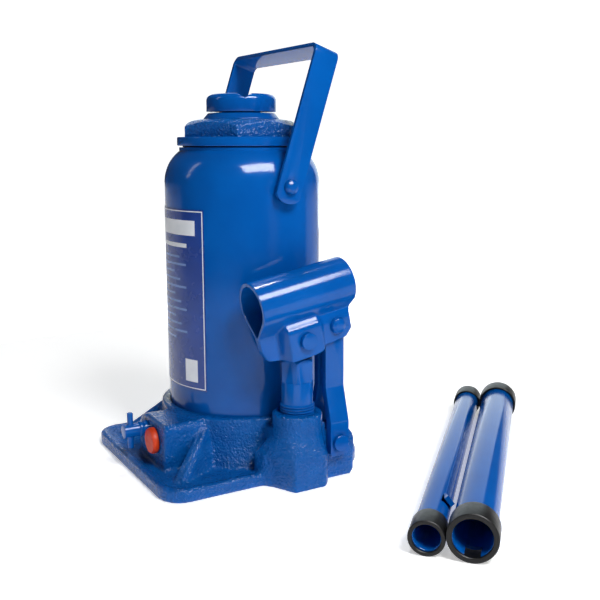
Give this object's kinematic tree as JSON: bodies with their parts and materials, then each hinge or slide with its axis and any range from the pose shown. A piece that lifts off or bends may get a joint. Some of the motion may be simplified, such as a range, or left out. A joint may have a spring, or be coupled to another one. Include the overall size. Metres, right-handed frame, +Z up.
{
  "type": "hydraulic bottle jack",
  "caption": "Hydraulic bottle jack with a cast base, oil tank, extension screw saddle, side hand pump, release valve, carrying handle and a two-piece pump handle laid beside it.",
  "frame": {"origin": "on the underside of the base, on the ram's axis", "axes": "+Z up along the ram; -Y towards the operator, where the release valve is; +X towards the pump"},
  "size_m": [0.2762, 0.2854, 0.258],
  "materials": {
    "blue_paint": "gloss",
    "cast_blue_paint": "gloss over cast metal",
    "steel": "ground",
    "spring_steel": "oiled",
    "copper": "satin",
    "rubber": "matte",
    "orange_plastic": "satin",
    "black_plastic": "satin",
    "label_film": "gloss"
  },
  "bodies": {
    "base": {"base_casting": "cast_blue_paint", "reservoir_seal": "rubber", "oil_reservoir": "blue_paint", "cylinder_gasket": "copper", "pressure_cylinder": "steel", "top_nut": "cast_blue_paint", "top_nut_seal": "rubber", "ram_wiper_seal": "rubber", "pump_barrel": "blue_paint", "pump_barrel_washer": "copper", "plunger_gland_seal": "rubber", "link_foot_pin": "blue_paint", "bail_stud_right": "blue_paint", "bail_stud_left": "blue_paint", "suction_strainer": "copper", "discharge_valve_plug": "steel", "discharge_valve_spring": "spring_steel", "safety_valve_screw": "steel", "safety_valve_spring": "spring_steel", "rating_label": "label_film", "release_valve_ball": "steel", "suction_valve_ball": "steel", "discharge_valve_ball": "steel", "safety_valve_ball": "steel", "safety_valve_cap": "orange_plastic"},
    "ram": {"ram": "steel", "piston_head": "steel", "piston_cup_seal": "rubber", "piston_nut": "steel"},
    "screw_stop": {"screw_stop_ring": "spring_steel"},
    "extension_screw": {"extension_screw": "blue_paint"},
    "plunger": {"pump_plunger": "steel", "plunger_cup_seal": "rubber"},
    "link": {"link_arm_outer": "blue_paint", "link_arm_inner": "blue_paint"},
    "lever": {"lever_socket": "blue_paint", "plunger_pin": "blue_paint", "link_head_pin": "blue_paint"},
    "release_seal": {"release_valve_seal": "rubber"},
    "release_valve": {"release_valve_screw": "blue_paint", "release_valve_crossbar": "blue_paint"},
    "filler_plug": {"oil_filler_plug": "rubber"},
    "carrying_handle": {"carrying_handle": "blue_paint"},
    "large_handle_tube": {"handle_tube_large": "blue_paint", "large_tube_cap_near": "black_plastic", "large_tube_cap_far": "black_plastic"},
    "small_handle_tube": {"handle_tube_small": "blue_paint", "small_tube_cap_near": "black_plastic", "small_tube_cap_far": "black_plastic"}
  },
  "joints": [
    {"name": "ram_lift", "type": "slide", "parent": "base", "child": "ram", "axis": [0, 0, 1], "range_m": [0, 0.149]},
    {"name": "screw_extend", "type": "slide", "parent": "ram", "child": "screw_stop", "axis": [0, 0, 1], "range_m": [0, 0.066]},
    {"name": "screw_turn", "type": "hinge", "parent": "screw_stop", "child": "extension_screw", "pos_m": [0, 0, 0.2], "axis": [0, 0, 1], "range_deg": [0, 3965]},
    {"name": "link_swing", "type": "hinge", "parent": "base", "child": "link", "pos_m": [0.069, 0.0225, 0.024], "axis": [-1, 0, 0], "range_deg": [-2, 2]},
    {"name": "lever_swing", "type": "hinge", "parent": "link", "child": "lever", "pos_m": [0.069, 0.0219, 0.0953], "axis": [-1, 0, 0], "range_deg": [0, 48]},
    {"name": "plunger_slide", "type": "slide", "parent": "base", "child": "plunger", "axis": [0, 0, 1], "range_m": [0, 0.0185]},
    {"name": "release_back_off", "type": "slide", "parent": "base", "child": "release_seal", "axis": [0, -1, 0], "range_m": [0, 0.00187]},
    {"name": "release_turn", "type": "hinge", "parent": "release_seal", "child": "release_valve", "pos_m": [0.003, -0.07, 0.026], "axis": [0, -1, 0], "range_deg": [0, 541]},
    {"name": "filler_plug_pull", "type": "slide", "parent": "base", "child": "filler_plug", "axis": [0, 1, 0], "range_m": [0, 0.012]},
    {"name": "carrying_handle_swing", "type": "hinge", "parent": "base", "child": "carrying_handle", "pos_m": [0, 0.0045, 0.175], "axis": [-1, 0, 0], "range_deg": [-133, 97]},
    {"name": "handle_large_lift", "type": "slide", "parent": "base", "child": "large_handle_tube", "axis": [0, 0, 1], "range_m": [0, 0.25]},
    {"name": "handle_small_lift", "type": "slide", "parent": "base", "child": "small_handle_tube", "axis": [0, 0, 1], "range_m": [0, 0.25]}
  ],
  "couplings": [
    {"joint": "screw_turn", "follows": "screw_extend", "rad_per_m": 1047.2},
    {"joint": "plunger_slide", "follows": "lever_swing", "m_per_rad": 0.0218},
    {"joint": "link_swing", "follows": "lever_swing", "ratio": -0.0213},
    {"joint": "release_turn", "follows": "release_back_off", "rad_per_m": 5026.5}
  ]
}
